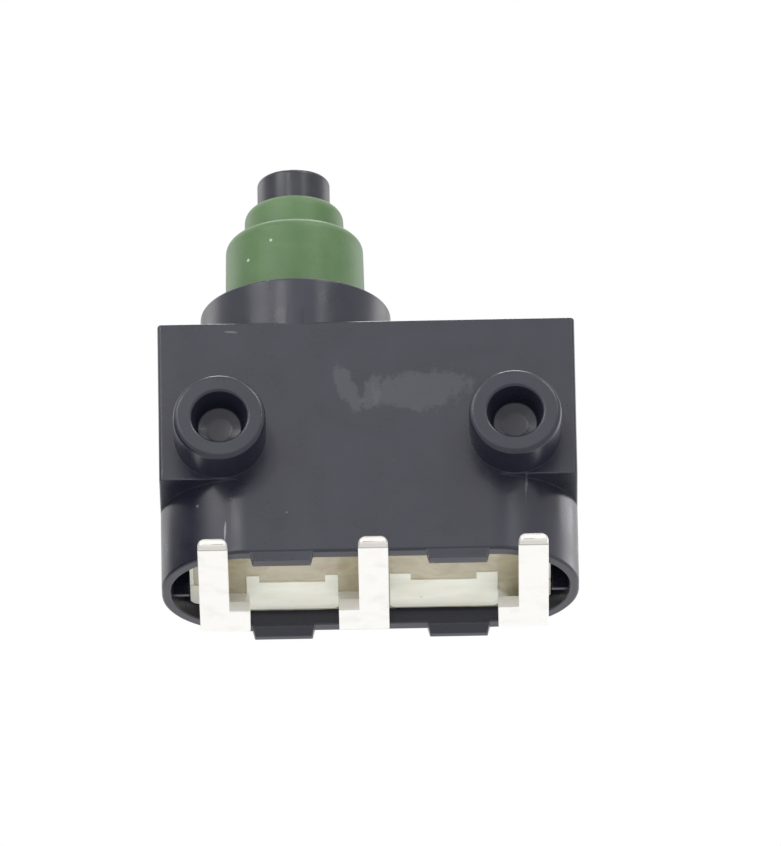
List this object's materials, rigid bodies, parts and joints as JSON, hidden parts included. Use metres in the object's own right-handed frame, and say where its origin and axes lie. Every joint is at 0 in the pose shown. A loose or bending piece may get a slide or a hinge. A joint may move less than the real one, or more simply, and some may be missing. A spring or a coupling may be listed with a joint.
{
  "type": "micro switch",
  "caption": "Sealed sub-miniature snap-action switch with locating pegs, booted plunger and terminals bent forward.",
  "frame": {"origin": "on the mounting face, midway between the axes of the two locating pegs", "axes": "+X along the case, +Y from the mounting face into the case, +Z the way the plunger stands out"},
  "size_m": [0.0132, 0.0082, 0.0153],
  "materials": {
    "case_black": "satin moulded",
    "plunger_black": "matte moulded",
    "guide_black": "matte moulded",
    "boot_green": "satin rubber",
    "base_cream": "matte moulded",
    "potting_resin": "semi-gloss cured resin",
    "tinned_strip": "tinned copper alloy",
    "contact_silver": "silver alloy",
    "spring_copper": "rolled copper alloy",
    "spring_steel": "drawn wire",
    "inner_plastic": "natural moulded"
  },
  "bodies": {
    "case": {"housing": "case_black", "base": "base_cream", "epoxy_seal": "potting_resin", "nc_terminal": "tinned_strip", "no_terminal": "tinned_strip", "com_terminal": "tinned_strip", "nc_contact": "contact_silver", "no_contact": "contact_silver", "plunger_guide": "guide_black", "boot": "boot_green", "return_spring": "spring_steel", "snap_spring": "spring_copper"},
    "plunger_body": {"plunger": "plunger_black", "stop_cup": "inner_plastic", "override_spring": "spring_steel"},
    "pin_body": {"push_pin": "inner_plastic"},
    "arm_body": {"contact_arm": "spring_copper", "moving_contact": "contact_silver"}
  },
  "joints": [
    {"name": "plunger_slide", "type": "slide", "parent": "case", "child": "plunger_body", "axis": [0, 0, -1], "range_m": [0, 0.0015], "stiffness_N_per_m": 500, "springref_m": -0.0015, "deforming": ["boot", "return_spring", "override_spring"]},
    {"name": "push_pin_slide", "type": "slide", "parent": "case", "child": "pin_body", "axis": [0, 0, -1], "range_m": [0, 0.000363]},
    {"name": "arm_hinge", "type": "hinge", "parent": "case", "child": "arm_body", "pos_m": [0.0049, 0.00305, 0.0003], "axis": [0, -1, 0], "range_deg": [0, 2.9], "deforming": ["snap_spring"]}
  ],
  "couplings": [
    {"joint": "push_pin_slide", "follows": "plunger_slide", "ratio": 0.2415},
    {"joint": "arm_hinge", "follows": "plunger_slide", "rad_per_m": 33.74}
  ]
}
